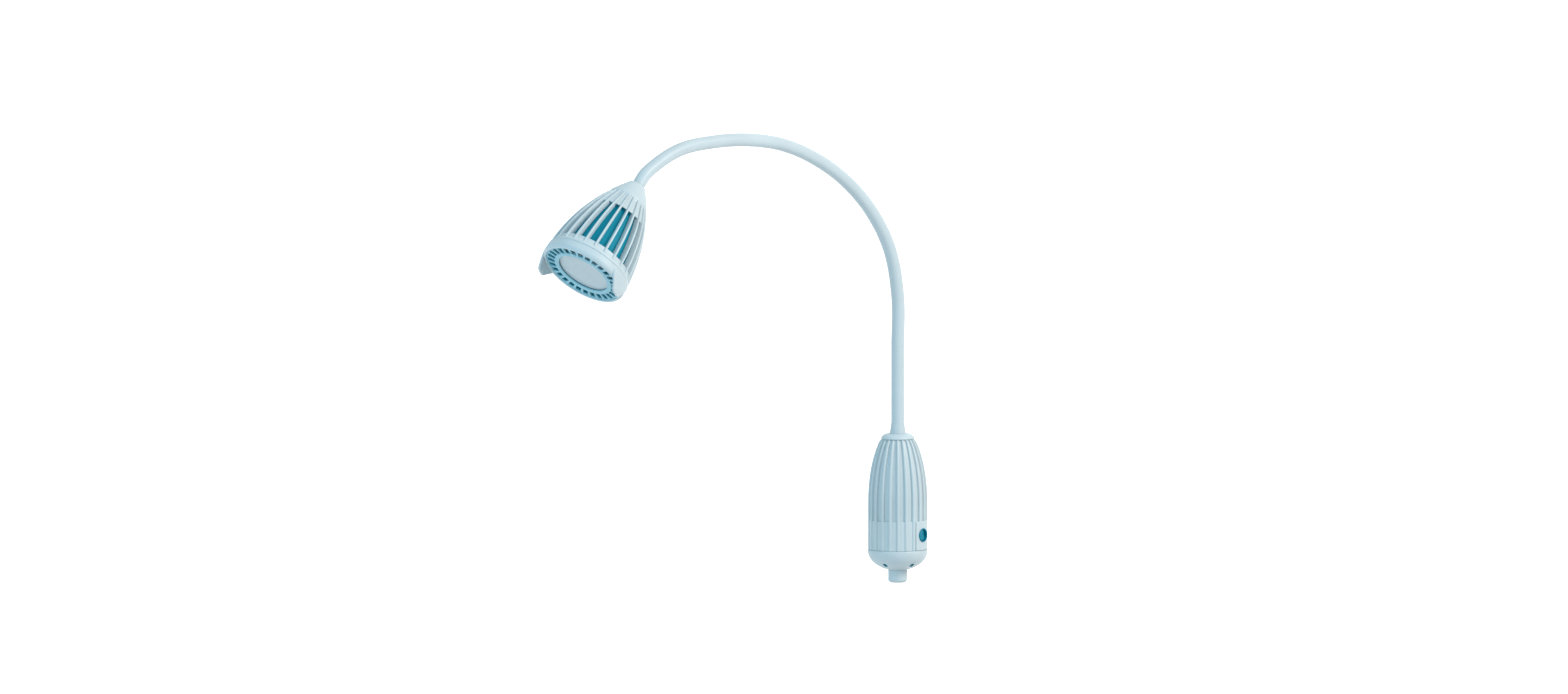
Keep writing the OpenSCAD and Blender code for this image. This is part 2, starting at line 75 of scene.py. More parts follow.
def place(origin, x_axis, z_axis):
    """A matrix from upright millimetres to the row frame in metres."""
    z_axis = Vector(z_axis).normalized()
    x_axis = Vector(x_axis).normalized()
    turn = Matrix((x_axis, z_axis.cross(x_axis), z_axis)).transposed().to_4x4()
    return Matrix.Translation(origin) @ turn @ Matrix.Scale(MM, 4)


rim_centre = Vector(joints["bezel_turn"]["pos_m"])
head_axis = Vector(joints["bezel_turn"]["axis"])
collar = rim_centre - head_axis * HEAD_LEN * MM
rocker_pin = Vector(joints["switch_rock"]["pos_m"])
switch_out = Vector((rocker_pin.x, rocker_pin.y, 0)).normalized()

base_place = place((0, 0, 0), (1, 0, 0), (0, 0, 1))
head_place = place(collar, (1, 0, 0), head_axis)
switch_place = place((0, 0, rocker_pin.z), (0, 0, -1), switch_out)
print("collar at", [round(c, 3) for c in collar], "rim at", [round(c, 3) for c in rim_centre])

# %% [markdown]
# ## Camera
# The lamp is seen from slightly above and from far away, so that the base and the head show at the
# same scale. A long lens does that. The camera's place is worked out from three directions: toward
# the camera, to its right, and up in its view. It could be dragged into place by hand, but an angle
# that is written down can be read and changed.

# %% Place the camera
VIEW_AZIMUTH = math.radians(45)
VIEW_RISE = math.radians(4.9)
VIEW_DISTANCE = 40.0
VIEW_WIDTH = 2.038
AIM_RIGHT = -0.1478
AIM_UP = 0.3054

toward_camera = Vector((math.sin(VIEW_AZIMUTH) * math.cos(VIEW_RISE),
                        -math.cos(VIEW_AZIMUTH) * math.cos(VIEW_RISE),
                        math.sin(VIEW_RISE)))
camera_right = Vector((math.cos(VIEW_AZIMUTH), math.sin(VIEW_AZIMUTH), 0))
camera_up = toward_camera.cross(camera_right)


def add_object(name, data):
    """A new object in the scene, made from this data."""
    added = bpy.data.objects.new(name, data)
    bpy.context.collection.objects.link(added)
    return added


camera_data = bpy.data.cameras.new("camera")
camera_data.sensor_width = 36
camera_data.lens = camera_data.sensor_width * VIEW_DISTANCE / VIEW_WIDTH
camera_data.clip_start, camera_data.clip_end = 0.1, 200
camera = add_object("camera", camera_data)
camera.location = camera_right * AIM_RIGHT + camera_up * AIM_UP + toward_camera * VIEW_DISTANCE
camera.rotation_mode = "QUATERNION"
camera.rotation_quaternion = toward_camera.to_track_quat("Z", "Y")
bpy.context.scene.camera = camera
print("camera lens", round(camera_data.lens), "mm")

# %% [markdown]
# ## Three lights
# The key light is a soft one, high on the right and a little warm. A weak blue-green one fills the
# left, which gives the pale plastic its cool shade side. The third stands behind and lifts the
# edges. A sun lamp would be simpler, but its shadows have hard edges. Area lights make soft ones.

# %% Hang the lights
LAMP_MIDDLE = Vector((0, -0.25, 0.3))


def soft_light(name, spot, size, power, colour):
    """A square area light at spot that looks at the middle of the lamp."""
    data = bpy.data.lights.new(name, "AREA")
    data.size, data.energy, data.color = size, power, colour
    light = add_object(name, data)
    light.location = spot
    light.rotation_euler = (spot - LAMP_MIDDLE).to_track_quat("Z", "Y").to_euler()
    print(f"{name}: {power} W, {(spot - LAMP_MIDDLE).length:.1f} m away")


key_spot = toward_camera * 1.3 + camera_right * 2.1 + Vector((0, 0, 1.9))
fill_spot = toward_camera * 2.2 - camera_right * 2.0 + Vector((0, 0, 0.4))
back_spot = -toward_camera * 2.0 + camera_right * 0.6 + Vector((0, 0, 1.6))
soft_light("key_light", key_spot, 0.9, 60, (1.0, 0.95, 0.90))
soft_light("fill_light", fill_spot, 1.6, 21, (0.08, 0.66, 1.0))
soft_light("back_light", back_spot, 1.6, 8, (0.75, 0.93, 1.0))

# %% [markdown]
# ## Sky
# Most of the light comes evenly from a pale sky, as in a white tent. What shows behind the lamp is
# a second background, almost white, so that no grey band shows where the floor ends. The light
# path node tells the two apart. The plain view transform keeps white paper white.

# %% Make the sky
world = bpy.data.worlds.new("studio")
world.use_nodes = True
bpy.context.scene.world = world
sky_nodes, sky_links = world.node_tree.nodes, world.node_tree.links
sky = sky_nodes["Background"]
sky.inputs["Color"].default_value = (0.87, 0.96, 0.985, 1)
sky.inputs["Strength"].default_value = 0.80
backdrop = sky_nodes.new("ShaderNodeBackground")
backdrop.inputs["Color"].default_value = (0.97, 0.99, 1.0, 1)
seen_or_lighting = sky_nodes.new("ShaderNodeMixShader")
sky_links.new(sky_nodes.new("ShaderNodeLightPath").outputs["Is Camera Ray"],
              seen_or_lighting.inputs[0])
sky_links.new(sky.outputs[0], seen_or_lighting.inputs[1])
sky_links.new(backdrop.outputs[0], seen_or_lighting.inputs[2])
sky_links.new(seen_or_lighting.outputs[0], sky_nodes["World Output"].inputs["Surface"])
bpy.context.scene.view_settings.view_transform = "Standard"
print("sky strength", round(sky.inputs["Strength"].default_value, 2))

# %% [markdown]
# ## Floor
# The floor is a wide disc of white paper. It throws no light back up at the lamp: the sky already
# lights the lamp from below, and both together would wash out its shade. The disc is so wide that
# its edge is never seen.

# %% Lay the floor
FLOOR_R = 90
FLOOR_DROP = 0.5 * MM
floor_mesh = bpy.data.meshes.new("floor")
floor_bm = bmesh.new()
bmesh.ops.create_circle(floor_bm, cap_ends=True, segments=96, radius=FLOOR_R)
floor_bm.to_mesh(floor_mesh)
floor_bm.free()
floor = add_object("floor", floor_mesh)
floor.location.z = -FLOOR_DROP
floor.visible_diffuse = False
print("floor", 2 * FLOOR_R, "m across")

# %% [markdown]
# ## Finishes
# A moulded plastic is never one flat colour. It has a fine grain from the tool, a slow drift in
# tone, and places that are a little shinier than others. One recipe makes all of the plastics and
# paints here: a slow noise tints the colour, another noise moves the roughness, and a fine one
# gives the grain as bump. Each finish only says how strong these are. All of it hangs on object
# coordinates, so it stays put on the part from every side.
#
# The floor's paper is the first to be made from it. It glows a little, as paper on a light table
# does, so that it stays near white far behind the lamp.

# %% A recipe for finishes
NOISE_LOW, NOISE_HIGH = 0.3, 0.7


class Recipe:
    """Wires a material's nodes. Most of a noise lies between NOISE_LOW and NOISE_HIGH."""

    def __init__(self, name):
        self.material = bpy.data.materials.new(name)
        self.material.use_nodes = True
        self.nodes = self.material.node_tree.nodes
        self.links = self.material.node_tree.links
        self.shader = self.nodes["Principled BSDF"]
        self.spot = self.nodes.new("ShaderNodeTexCoord").outputs["Object"]

    def add(self, kind, **settings):
        """A new node. Each setting is one of its options or the value of one of its inputs."""
        node = self.nodes.new(kind)
        for key, value in settings.items():
            if hasattr(node, key):
                setattr(node, key, value)
            else:
                node.inputs[key.replace("_", " ").title()].default_value = value
        return node

    def wire(self, source, target):
        self.links.new(source, target)

    def noise(self, scale, detail, spot=None):
        node = self.add("ShaderNodeTexNoise", scale=scale, detail=detail)
        self.wire(spot or self.spot, node.inputs["Vector"])
        return node.outputs["Fac"]

    def shine(self, source, low, high):
        node = self.add("ShaderNodeMapRange", from_min=NOISE_LOW, from_max=NOISE_HIGH,
                        to_min=low, to_max=high)
        self.wire(source, node.inputs["Value"])
        self.wire(node.outputs["Result"], self.shader.inputs["Roughness"])

    def tint(self, source, dark, light):
        ramp = self.add("ShaderNodeValToRGB")
        low, high = ramp.color_ramp.elements
        low.position, high.position = NOISE_LOW, NOISE_HIGH
        low.color, high.color = (*dark, 1), (*light, 1)
        self.wire(source, ramp.inputs["Fac"])
        self.wire(ramp.outputs["Color"], self.shader.inputs["Base Color"])

    def relief(self, source, strength, depth, under=None):
        bump = self.add("ShaderNodeBump", strength=strength, distance=depth)
        self.wire(source, bump.inputs["Height"])
        if under is not None:
            self.wire(under, bump.inputs["Normal"])
        self.wire(bump.outputs["Normal"], self.shader.inputs["Normal"])
        return bump.outputs["Normal"]

    def set(self, **values):
        for key, value in values.items():
            socket = key.replace("_", " ").title().replace("Ior", "IOR")
            self.shader.inputs[socket].default_value = value
        return self


paper = Recipe("floor_paper")
paper.tint(paper.noise(3, 2), (0.79, 0.80, 0.80), (0.81, 0.82, 0.82))
paper.set(roughness=0.9, emission_color=(1.0, 0.92, 0.89, 1), emission_strength=0.78)
floor_mesh.materials.append(paper.material)
print("floor paper:", len(paper.nodes), "nodes")

# %% [markdown]
# The lamp's own colours come next. The pale parts are an icy blue-white, and the darker ones a
# deep teal. The inner bell's teal also glows very slightly, which is painted light: little light
# gets in behind the ribs, and without the glow its teal would turn black.

# %% Plastics, paints and rubber
ICE = (0.49, 0.575, 0.615)
ICE_NECK = (0.475, 0.555, 0.595)
TEAL_DEEP = (0.0, 0.20, 0.29)
TEAL_LINER = (0.0, 0.19, 0.27)
TEAL_RING = (0.23, 0.48, 0.57)



def moulded(name, colour, shine=(0.42, 0.54), drift=0.04, grain=0.12, grain_size=0.7, **extra):
    """A moulded plastic or a sprayed paint. shine is the range of its roughness."""
    made = Recipe(name)
    dark = [max(0.0, c * (1 - drift)) for c in colour]
    light = [min(1.0, c * (1 + drift)) for c in colour]
    made.tint(made.noise(14, 4), dark, light)
    made.shine(made.noise(38, 3), *shine)
    waves = made.relief(made.noise(60, 2), 0.10, 0.0004)
    made.relief(made.noise(1000 / grain_size, 2), grain, 0.00012, under=waves)
    return made.set(**extra).material


finishes = {
    "pale_plastic": moulded("pale_plastic", ICE),
    "shade_plastic": moulded("shade_plastic", ICE),
    "neck_skin": moulded("neck_skin", ICE_NECK, shine=(0.38, 0.48), grain=0.06),
    "teal_dark": moulded("teal_dark", TEAL_DEEP, shine=(0.34, 0.46), drift=0.12,
                         specular_ior_level=0.25),
    "teal_rocker": moulded("teal_rocker", TEAL_DEEP, shine=(0.38, 0.46), drift=0.06, grain=0.05,
                           specular_ior_level=0.3),
    # painted light: a faint teal glow lifts the inner bell out of the shade behind the ribs
    "teal_liner": moulded("teal_liner", TEAL_LINER, shine=(0.5, 0.65), drift=0.1, grain=0.2,
                          specular_ior_level=0.15, emission_color=(0.0, 0.22, 0.32, 1),
                          emission_strength=0.22),
    "teal_ring": moulded("teal_ring", TEAL_RING, shine=(0.4, 0.52), drift=0.06),
    "black_rubber": moulded("black_rubber", (0.012, 0.014, 0.016), shine=(0.62, 0.8), grain=0.3),
    "black_plastic": moulded("black_plastic", (0.02, 0.022, 0.025), shine=(0.4, 0.55)),
    "dark_screw": moulded("dark_screw", (0.02, 0.10, 0.13), shine=(0.25, 0.4), metallic=0.6),
    "lead_skin": moulded("lead_skin", (0.6, 0.63, 0.65), shine=(0.5, 0.62), grain=0.25),
    "ceramic": moulded("ceramic", (0.82, 0.79, 0.72), shine=(0.55, 0.7), grain=0.35,
                       grain_size=0.4),
}
print("plain finishes:", len(finishes))

# %% [markdown]
# Metals need other detail. Turned brass has fine rings, brushed steel has long scratches, and the
# transformer is a stack of thin sheets with a taped winding. Stretching the noise before it is
# read makes scratches out of grain, and a wave texture makes the stack.

# %% Metals and the transformer


def stretched(made, factors):
    node = made.add("ShaderNodeMapping")
    node.inputs["Scale"].default_value = factors
    made.wire(made.spot, node.inputs["Vector"])
    return node.outputs["Vector"]


def metal(name, colour, shine, factors, depth=0.00005):
    """A metal with scratches that run along the axis with the smallest factor."""
    made = Recipe(name)
    lines = made.noise(220, 3, stretched(made, factors))
    made.tint(lines, [c * 0.86 for c in colour], colour)
    made.shine(made.noise(90, 3), *shine)
    made.relief(lines, 0.25, depth)
    return made.set(metallic=1.0).material


def striped(name, dark, light, per_metre, direction, metallic):
    made = Recipe(name)
    wave = made.add("ShaderNodeTexWave", bands_direction=direction, scale=per_metre / 20,
                    distortion=0.4)
    made.wire(made.spot, wave.inputs["Vector"])
    made.tint(wave.outputs["Fac"], dark, light)
    made.shine(made.noise(70, 3), 0.4, 0.6)
    made.relief(wave.outputs["Fac"], 0.5, 0.0003)
    return made.set(metallic=metallic).material


finishes.update({
    "steel": metal("steel", (0.60, 0.62, 0.64), (0.25, 0.4), (1, 1, 0.06)),
    "brass": metal("brass", (0.80, 0.58, 0.24), (0.22, 0.36), (0.1, 0.1, 3)),
    "mirror_metal": metal("mirror_metal", (0.90, 0.91, 0.92), (0.22, 0.3), (0.5, 0.5, 0.5)),
    "core_iron": striped("core_iron", (0.03, 0.035, 0.04), (0.12, 0.13, 0.14), 1400, "Y", 0.7),
    "copper_coil": striped("copper_coil", (0.16, 0.055, 0.02), (0.45, 0.19, 0.07), 900, "Z", 0.2),
})
print("with metals:", len(finishes))

# %% [markdown]
# The frosted glass is a milky, rough glass with a tiny pebbled surface, so that the lamp behind it
# only glows through as a blur. The bulb is the same recipe, almost clear. After that every part of
# the frame gets its finish, also those that keep their own shape.

# %% Glass, and a finish for every part


def frosted(name, colour, through, rough, pebble):
    made = Recipe(name)
    made.tint(made.noise(30, 4), [c * 0.94 for c in colour], colour)
    made.shine(made.noise(120, 3), *rough)
    made.relief(made.noise(1400, 2), pebble, 0.0001)
    return made.set(transmission_weight=through).material


finishes.update({
    "frosted_glass": frosted("frosted_glass", (0.63, 0.72, 0.76), 0.30, (0.38, 0.52), 0.3),
    "bulb_glass": frosted("bulb_glass", (0.95, 0.97, 0.98), 0.95, (0.03, 0.08), 0.02),
})
slot_of = {part["node"]: part["material_slot"] for part in frame["record"]["subparts"]}
for node_name, node in frame["nodes"].items():
    node.data.materials.clear()
    node.data.materials.append(finishes[slot_of[node_name]])
print("all finishes:", len(finishes))

# %% [markdown]
# ## The outlines of the housing and the bell
# The base housing goes straight up and then closes in along a quarter of an ellipse. The bell is
# one arc of a large circle, widest at the rim. The cap under the housing is half an ellipse. As
# formulas they are short, and every rib, groove and wall can be measured from them. All heights
# are in millimetres: up from the spigot's end in the base, and along the axis from the collar in
# the head.

# %% Outline formulas
HOUSING_R = 39
CROWN_Z, CROWN_H = 105, 100
SEAM_Z, STEP_Z, HOUSING_TOP = 43, 81.5, 187
BELL_R, BELL_ARC = 58.5, 254
LIP_R = BELL_R - 5
CAP_MIDDLE, CAP_DEPTH = 41, 26


def crown_r(z):
    rise = max(0.0, (z - CROWN_Z) / CROWN_H)
    return HOUSING_R * math.sqrt(1 - rise * rise)


def bell_r(s):
    return BELL_R - BELL_ARC + math.sqrt(BELL_ARC ** 2 - (HEAD_LEN - s) ** 2)


def spaced(start, end, steps):
    return [start + (end - start) * i / steps for i in range(steps + 1)]


def ease(t):
    t = min(1.0, max(0.0, t))
    return t * t * (3 - 2 * t)


print("bell radius at collar", round(bell_r(0), 1), "at rim", bell_r(HEAD_LEN))

# %% [markdown]
# ## Turning a part
# Nearly every part of this lamp comes off a lathe or out of a round mould, so its shape is an
# outline swung round an axis. Blender's Spin and Screw tools can do that, but writing the rings
# directly gives full control of where the vertices go. Points that fall together on the axis are
# merged when the mesh is built.

# %% Swing an outline and build the mesh


def swung(radius, angle, height=0.0):
    """A point at this distance from the upright axis, turned round it by the angle."""
    return Vector((radius * math.cos(angle), radius * math.sin(angle), height))


def turned(outline, around=128):
    """Vertices and faces of a closed outline swung once round the upright axis."""
    verts, faces = [], []
    count = len(outline)
    for step in range(around):
        verts += [swung(r, 2 * math.pi * step / around, z) for r, z in outline]
        for k in range(count):
            a, b = step * count + k, step * count + (k + 1) % count
            shift = count if step < around - 1 else -count * (around - 1)
            faces.append((a, a + shift, b + shift, b))
    return verts, faces


def shade_smooth(mesh, sharp=40):
    """Smooth shading, with a crease where two faces meet at more than the sharp angle."""
    mesh.polygons.foreach_set("use_smooth", [True] * len(mesh.polygons))
    mesh.set_sharp_from_angle(angle=math.radians(sharp))


def build(name, parts, where, sharp=40):
    """One mesh object from several (vertices, faces) parts, drawn in the place given."""
    bm = bmesh.new()
    for verts, faces in parts:
        made = [bm.verts.new(where @ v) for v in verts]
        for face in faces:
            corners = [made[i] for i in face]
            if len({tuple(c.co) for c in corners}) > 2:
                bm.faces.new(corners)
    bmesh.ops.remove_doubles(bm, verts=bm.verts, dist=1e-7)
    bmesh.ops.dissolve_degenerate(bm, edges=bm.edges, dist=1e-7)
    bmesh.ops.recalc_face_normals(bm, faces=bm.faces)
    mesh = bpy.data.meshes.new(name)
    bm.to_mesh(mesh)
    bm.free()
    shade_smooth(mesh, sharp)
    return add_object(name, mesh)


print("a ring with four corners:", len(turned([(1, 0), (2, 0), (2, 1), (1, 1)])[1]), "faces")

# %% [markdown]
# ## Base housing
# The housing is a thin shell with twenty-two ribs. Its grooves are shallow near the seam and step
# deeper above the switch. The shell is turned, and then the hole for the switch is cut through it,
# as it would be drilled. A boolean does that cleanly here, because both shapes are closed.

# %% Housing shell with the switch's hole
GROOVE_DEEP, GROOVE_SHALLOW = 3.0, 1.4
WALL = 3.2
SWITCH_R = 9.0
SWITCH_HOLE_R = SWITCH_R + 0.15
switch_z = rocker_pin.z / MM


def groove_r(z):
    deeper = GROOVE_SHALLOW + (GROOVE_DEEP - GROOVE_SHALLOW) * ease((z - STEP_Z + 0.25) / 0.5)
    return crown_r(z) - deeper


def housing_inner(z):
    return crown_r(z) - GROOVE_DEEP - WALL


levels = (spaced(SEAM_Z + 0.35, STEP_Z - 0.4, 10) + spaced(STEP_Z - 0.25, STEP_Z + 0.25, 6)
          + spaced(STEP_Z + 1, CROWN_Z, 5)
          + [CROWN_Z + (HOUSING_TOP - CROWN_Z) * math.sin(t * math.pi / 2)
             for t in spaced(0.04, 1, 36)])
shell_outline = [(housing_inner(SEAM_Z), SEAM_Z), (groove_r(SEAM_Z) - 0.35, SEAM_Z)]
shell_outline += [(groove_r(z), z) for z in levels]
shell_outline += [(housing_inner(z), z) for z in reversed(spaced(CROWN_Z, HOUSING_TOP, 16))]
housing = build("housing", [turned(shell_outline, 176)], base_place)


def cut(piece, cutter):
    """Cuts the cutter's shape out of the piece, and removes the cutter."""
    tool = piece.modifiers.new("cut", "BOOLEAN")
    tool.operation, tool.object, tool.solver = "DIFFERENCE", cutter, "EXACT"
    shaped = bpy.data.meshes.new_from_object(
        piece.evaluated_get(bpy.context.evaluated_depsgraph_get()))
    piece.modifiers.clear()
    piece.data = shaped
    bpy.data.objects.remove(cutter)
    shade_smooth(shaped)


hole_outline = [(0, 20), (SWITCH_HOLE_R, 20), (SWITCH_HOLE_R, 45), (0, 45)]
cut(housing, build("hole", [turned(hole_outline, 64)], switch_place))
print("housing shell:", len(housing.data.vertices), "vertices")

# %% [markdown]
# ## Ribs
# Both housings are covered in ribs, which carry the heat away. In the mould a rib has straight
# sides with a little draft and a rounded crest. Each rib is lofted here through sections along its
# length, and it sinks into the wall so that no gap shows. An array of bevelled boxes would be
# quicker, but it couldn't follow the curve of the bell.

# %% A rib that follows any outline


def lofted(sections, close=False):
    """Vertices and faces through a row of closed sections with the same number of points."""
    count = len(sections[0])
    verts = [point for section in sections for point in section]
    faces = []
    last = len(sections) if close else len(sections) - 1
    for row in range(last):
        below, above = row * count, ((row + 1) % len(sections)) * count
        for k in range(count):
            n = (k + 1) % count
            faces.append((below + k, below + n, above + n, above + k))
    if not close:
        faces.append(tuple(reversed(range(count))))
        faces.append(tuple(range(len(verts) - count, len(verts))))
    return verts, faces


def rib(crest, foot, half_width, stations, angle, round_share=0.55, draft=0.12):
    """A rib at this angle. crest, foot and half_width are functions of the station."""
    sections = []
    outward = Vector((math.cos(angle), math.sin(angle), 0))
    across = Vector((-math.sin(angle), math.cos(angle), 0))
    for s in stations:
        top, bottom, half = crest(s), foot(s), half_width(s)
        bend = half * round_share
        side = half * (1 - draft)
        points = [(bottom, -half), (top - bend, -side)]
        for k in range(1, 6):
            turn = math.pi * k / 6
            points.append((top - bend + bend * math.sin(turn), -side * math.cos(turn)))
        points += [(top - bend, side), (bottom, half)]
        sections.append([outward * r + across * a + Vector((0, 0, s)) for r, a in points])
    return lofted(sections)


trial_rib = rib(lambda s: 40, lambda s: 36, lambda s: 2, [0, 10], 0)
print("a straight rib between two stations:", len(trial_rib[1]), "faces")

# %% [markdown]
# The housing's ribs start at the seam and follow its crown. The two beside the switch start at the
# step, because the smooth pad takes their place below it.

# %% Ribs of the housing
HOUSING_RIBS = 22
RIB_ROOT = 4.2
switch_turn = math.atan2(switch_out.y, switch_out.x)


def housing_rib_half(z):
    return 2.2 * (0.42 + 0.58 * crown_r(z) / HOUSING_R)


def housing_crest(z):
    low = 0.5 * (1 - ease((z - SEAM_Z) / 1.2))
    high = 1.1 * ease((z - HOUSING_TOP + 4) / 4)
    return crown_r(z) - low - high


rib_levels = (spaced(SEAM_Z + 0.15, SEAM_Z + 1.5, 4) + spaced(SEAM_Z + 5, CROWN_Z, 12)
              + [CROWN_Z + (HOUSING_TOP - 0.1 - CROWN_Z) * math.sin(t * math.pi / 2)
                 for t in spaced(0.04, 1, 40)])
housing_parts = []
for number in range(HOUSING_RIBS):
    turn = switch_turn + (number + 0.5) * 2 * math.pi / HOUSING_RIBS
    beside_switch = number in (0, HOUSING_RIBS - 1)
    stations = [z for z in rib_levels if z > STEP_Z - 2] if beside_switch else rib_levels
    housing_parts.append(rib(housing_crest, lambda z: crown_r(z) - RIB_ROOT, housing_rib_half,
                             stations, turn))
print("housing ribs:", len(housing_parts))

# %% [markdown]
# ## Switch pad
# Round the switch there is a smooth pad, level with the crests of the ribs. It is drawn as loops,
# from the round hole outward to its rectangular edge, each bent onto the housing's wall. A bent
# plate with a boolean hole would do too, but its edges couldn't be rounded so evenly.

# %% Smooth pad round the switch
PAD_HALF = math.radians(20)
PAD_LOW, PAD_HIGH = SEAM_Z + 0.3, STEP_Z


def switch_pad(rings=7, around=96, edge=1.0, depth=4.5):
    """A smooth pad on the housing's wall, from the seam to the step, with a round hole."""
    half_width = PAD_HALF * HOUSING_R

    def on_wall(a, b, sink):
        return swung(HOUSING_R - sink, switch_turn + a / HOUSING_R, switch_z + b)

    def loop(share, sink, shrink=0.0):
        """A loop between the hole, at share 0, and the pad's edge, at share 1."""
        points = []
        for k in range(around):
            direction = 2 * math.pi * k / around
            da, db = math.cos(direction), math.sin(direction)
            height = (PAD_HIGH - switch_z if db > 0 else switch_z - PAD_LOW) - shrink
            reach = min((half_width - shrink) / max(abs(da), 1e-9), height / max(abs(db), 1e-9))
            out = SWITCH_HOLE_R + (reach - SWITCH_HOLE_R) * share
            points.append(on_wall(da * out, db * out, sink))
        return points

    loops = [loop(0, depth)] + [loop(t, 0, edge) for t in spaced(0, 1, rings)]
    loops += [loop(1, edge * (1 - math.cos(t)), edge * (1 - math.sin(t)))
              for t in spaced(0.3, math.pi / 2, 4)]
    return lofted(loops + [loop(1, depth)], close=True)


housing_parts.append(switch_pad())
ribs_and_pad = build("ribs_and_pad", housing_parts, base_place)
print("ribs and pad:", len(ribs_and_pad.data.vertices), "vertices")

# %% [markdown]
# Shell, ribs and pad are one moulding, so their meshes are welded into one piece. Then it is fitted
# to the lamp: it takes the finish of its part in the frame, replaces it, and rides on its body.

# %% Weld the housing and fit it


def weld(piece, *others):
    """Adds the others' meshes to the piece, and removes them."""
    bm = bmesh.new()
    for source in (piece, *others):
        bm.from_mesh(source.data)
    bm.to_mesh(piece.data)
    bm.free()
    for other in others:
        bpy.data.objects.remove(other)
    shade_smooth(piece.data)
    return piece


def fit(piece, body, *nodes):
    """The piece takes its nodes' finish, stands for them and rides on the body."""
    slot = slot_of[nodes[0]]
    piece.data.materials.clear()
    piece.data.materials.append(finishes[slot])
    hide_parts(*nodes)
    if body:
        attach(piece, body)
    print(f"{piece.name}: {len(piece.data.vertices)} vertices, {slot}")
    return piece


fit(weld(housing, ribs_and_pad), "base", "housing")

# %% [markdown]
# ## Cap under the housing
# The cap is a bowl that carries the spigot and five recessed screws. It is turned, and then the
# recesses are cut, as a drill would, each with a small cone at its mouth that breaks the edge.

# %% Bowl and its five recesses
CAP_SCREWS, SCREW_RING = 5, 29
SCREW_TURN = math.radians(-78.5)
RECESS_R, RECESS_TOP = 2.85, 31
CAP_HOLE_R, SEAT_R = 12.3, 20.1


def cap_wall(depth, radius, start, steps=28):
    first = math.asin(start / radius)
    return [(radius * math.sin(a), CAP_MIDDLE - depth * math.cos(a))
            for a in spaced(first, math.pi / 2, steps)]


cap_outline = cap_wall(CAP_DEPTH, HOUSING_R, CAP_HOLE_R)
cap_outline += [(HOUSING_R, SEAM_Z - 0.7), (HOUSING_R - 0.5, SEAM_Z - 0.1), (32.6, SEAM_Z - 0.1),
                (32.6, 47), (29.8, 47), (29.8, 38.5)]
cap_outline += list(reversed(cap_wall(CAP_DEPTH - 3, HOUSING_R - 3, SEAT_R, 14)[:-3]))
cap_outline += [(SEAT_R, 22.6), (CAP_HOLE_R, 18.3)]
bottom_cap = build("bottom_cap", [turned(cap_outline, 160)], base_place)
screw_turns = [SCREW_TURN + k * 2 * math.pi / CAP_SCREWS for k in range(CAP_SCREWS)]
screw_centres = [swung(SCREW_RING, turn) for turn in screw_turns]


def at_screws(outline, around=32):
    """The same turned part at each of the five screws."""
    verts, faces = turned(outline, around)
    return [([v + centre for v in verts], faces) for centre in screw_centres]


recess = [(0, 10), (3.1, 10), (RECESS_R, 26.5), (RECESS_R, RECESS_TOP), (0, RECESS_TOP)]
cut(bottom_cap, build("recess", at_screws(recess), base_place))
print("cap with", len(screw_centres), "recesses:", len(bottom_cap.data.vertices), "vertices")

# %% [markdown]
# Real edges are never perfectly sharp. From here on, an outline's corners are rounded before it is
# turned, and those small fillets are what catches the light. The bevel modifier does this too, but
# in an outline each corner can have a fillet of its own.

# %% Round the corners of an outline


def filleted(outline, radius=0.5, steps=4):
    """Rounds the corners of a closed outline of (radius, height) points. A third number in a
    point is its own fillet."""
    rounded = []
    count = len(outline)
    for index, corner in enumerate(outline):
        here = Vector(corner[:2])
        back = Vector(outline[index - 1][:2]) - here
        ahead = Vector(outline[(index + 1) % count][:2]) - here
        size = corner[2] if len(corner) > 2 else radius
        half = back.angle(ahead, math.pi) / 2 if back.length and ahead.length else math.pi / 2
        if size <= 0 or here.x < 1e-6 or half > math.radians(84):
            rounded.append(here)
            continue
        reach = min(size / math.tan(half), back.length * 0.45, ahead.length * 0.45)
        start, end = here + back.normalized() * reach, here + ahead.normalized() * reach
        for step in range(steps + 1):
            t = step / steps
            rounded.append(start * (1 - t) ** 2 + here * 2 * t * (1 - t) + end * t * t)
    return rounded


print("a square with rounded corners:", len(filleted([(1, 0), (3, 0), (3, 2), (1, 2)])), "points")

# %% [markdown]
# The bosses that hold the screws are welded on inside the cap. The walls of the recesses get a
# dark teal finish of their own, face by face, since hardly any light reaches them.

# %% Screw bosses and the dark recess walls


def second_finish(piece, where, slot, chosen):
    """Gives another finish to the faces whose middle, in millimetres, the test chooses."""
    piece.data.materials.append(finishes[slot])
    back = where.inverted()
    count = 0
    for face in piece.data.polygons:
        if chosen(back @ face.center):
            face.material_index = 1
            count += 1
    print(piece.name, "faces in", slot, count)


def in_recess(middle):
    near = min((middle.xy - centre.xy).length for centre in screw_centres)
    return near < RECESS_R + 0.1 and middle.z < RECESS_TOP + 0.2


boss = filleted([(3.2, 27.5), (4.6, 27.5), (4.6, 41), (1.8, 41), (1.8, 31.05), (2.9, 31.05),
                 (2.9, 27.5)], 0.2)
weld(bottom_cap, build("bosses", at_screws(boss), base_place))
fit(bottom_cap, "base", "bottom_cap")
second_finish(bottom_cap, base_place, "teal_dark", in_recess)

# %% [markdown]
# ## Spigot, ring, boot and inlet
# The spigot is a hollow stub that clamps in a stand. The cable goes up through it, and through a
# rubber ring above its flange. At the top, a smooth ring closes the housing round the neck, and a
# soft boot keeps the neck from bending sharply where it leaves. All four are turned, so one short
# helper makes them.

# %% Spigot, collar ring, boot and inlet ring
SPIGOT_R = 12.5


def lathe(name, outline, where, body, around=128):
    """A turned piece that stands for the node of the same name."""
    return fit(build(name, [turned(outline, around)], where), body, name)


